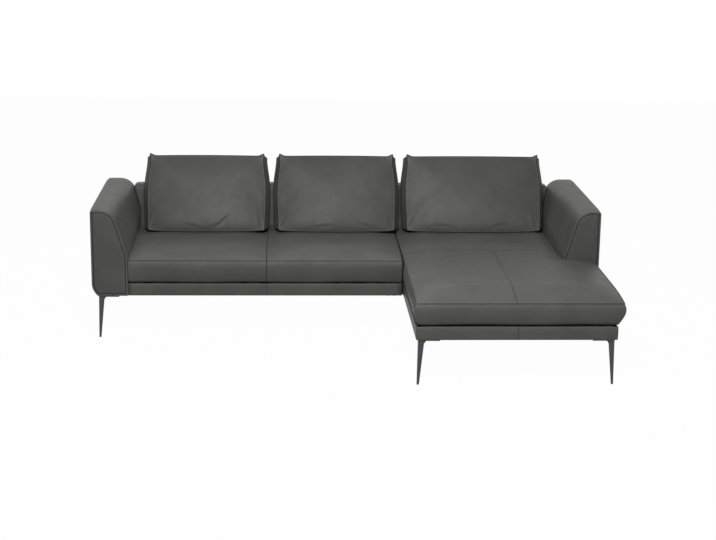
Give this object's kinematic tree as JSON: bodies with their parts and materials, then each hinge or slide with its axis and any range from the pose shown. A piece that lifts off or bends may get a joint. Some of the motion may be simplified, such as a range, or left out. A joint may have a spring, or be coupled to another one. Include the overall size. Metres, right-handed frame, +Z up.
{
  "type": "corner sofa",
  "caption": "Corner sofa with a chaise end: crowned seat cushions on a low base, padded sloping arms, low backrest, loose leaning back cushions and slim tapered legs.",
  "frame": {"origin": "on the floor, at the middle of the sofa's bounding box", "axes": "+X along the backrest towards the chaise, +Y from the seats towards the backrest, +Z up"},
  "size_m": [2.65, 1.668, 0.85],
  "materials": {
    "leather": "satin",
    "timber": "matte",
    "foam": "matte",
    "webbing": "matte",
    "dust_cover": "matte",
    "leg_metal": "satin",
    "glide": "matte",
    "hardware": "satin"
  },
  "bodies": {
    "base": {"arm_cover_left": "leather", "arm_cover_right": "leather", "arm_frame_left": "timber", "arm_frame_right": "timber", "arm_front_panel_left": "leather", "arm_front_panel_right": "leather", "arm_padding_left": "foam", "arm_padding_right": "foam", "back_cover_left": "leather", "back_cover_right": "leather", "back_frame_left": "timber", "back_frame_right": "timber", "back_padding_left": "foam", "back_padding_right": "foam", "chaise_arm_rail": "timber", "chaise_border": "leather", "chaise_corner_blocks": "timber", "chaise_cross_rail": "timber", "chaise_dust_cover": "dust_cover", "chaise_front_rail": "timber", "chaise_left_rail": "timber", "chaise_middle_rail": "timber", "chaise_rear_rail": "timber", "chaise_right_rail": "timber", "chaise_webbing": "webbing", "connector_hooks": "hardware", "connector_sockets": "hardware", "frame_screws": "hardware", "leg_chaise_left": "leg_metal", "leg_chaise_right": "leg_metal", "leg_front_left": "leg_metal", "leg_front_right": "leg_metal", "leg_glides": "glide", "leg_rear_left": "leg_metal", "leg_rear_middle_left": "leg_metal", "leg_rear_middle_right": "leg_metal", "leg_rear_right": "leg_metal", "leg_screws": "hardware", "seat_border": "leather", "seat_corner_blocks": "timber", "seat_cover_chaise": "leather", "seat_cover_left": "leather", "seat_cover_middle": "leather", "seat_dust_cover": "dust_cover", "seat_foam_chaise": "foam", "seat_foam_left": "foam", "seat_foam_middle": "foam", "seat_front_rail": "timber", "seat_left_rail": "timber", "seat_middle_rail": "timber", "seat_rear_rail": "timber", "seat_right_rail": "timber", "seat_webbing": "webbing"},
    "cushion_left": {"back_cushion_cover_left": "leather", "back_cushion_filling_left": "foam"},
    "cushion_middle": {"back_cushion_cover_middle": "leather", "back_cushion_filling_middle": "foam"},
    "cushion_right": {"back_cushion_cover_right": "leather", "back_cushion_filling_right": "foam"}
  },
  "joints": [
    {"name": "cushion_left_lift", "type": "slide", "parent": "base", "child": "cushion_left", "axis": [0, 0, 1], "range_m": [0, 0.3]},
    {"name": "cushion_middle_lift", "type": "slide", "parent": "base", "child": "cushion_middle", "axis": [0, 0, 1], "range_m": [0, 0.3]},
    {"name": "cushion_right_lift", "type": "slide", "parent": "base", "child": "cushion_right", "axis": [0, 0, 1], "range_m": [0, 0.3]}
  ]
}
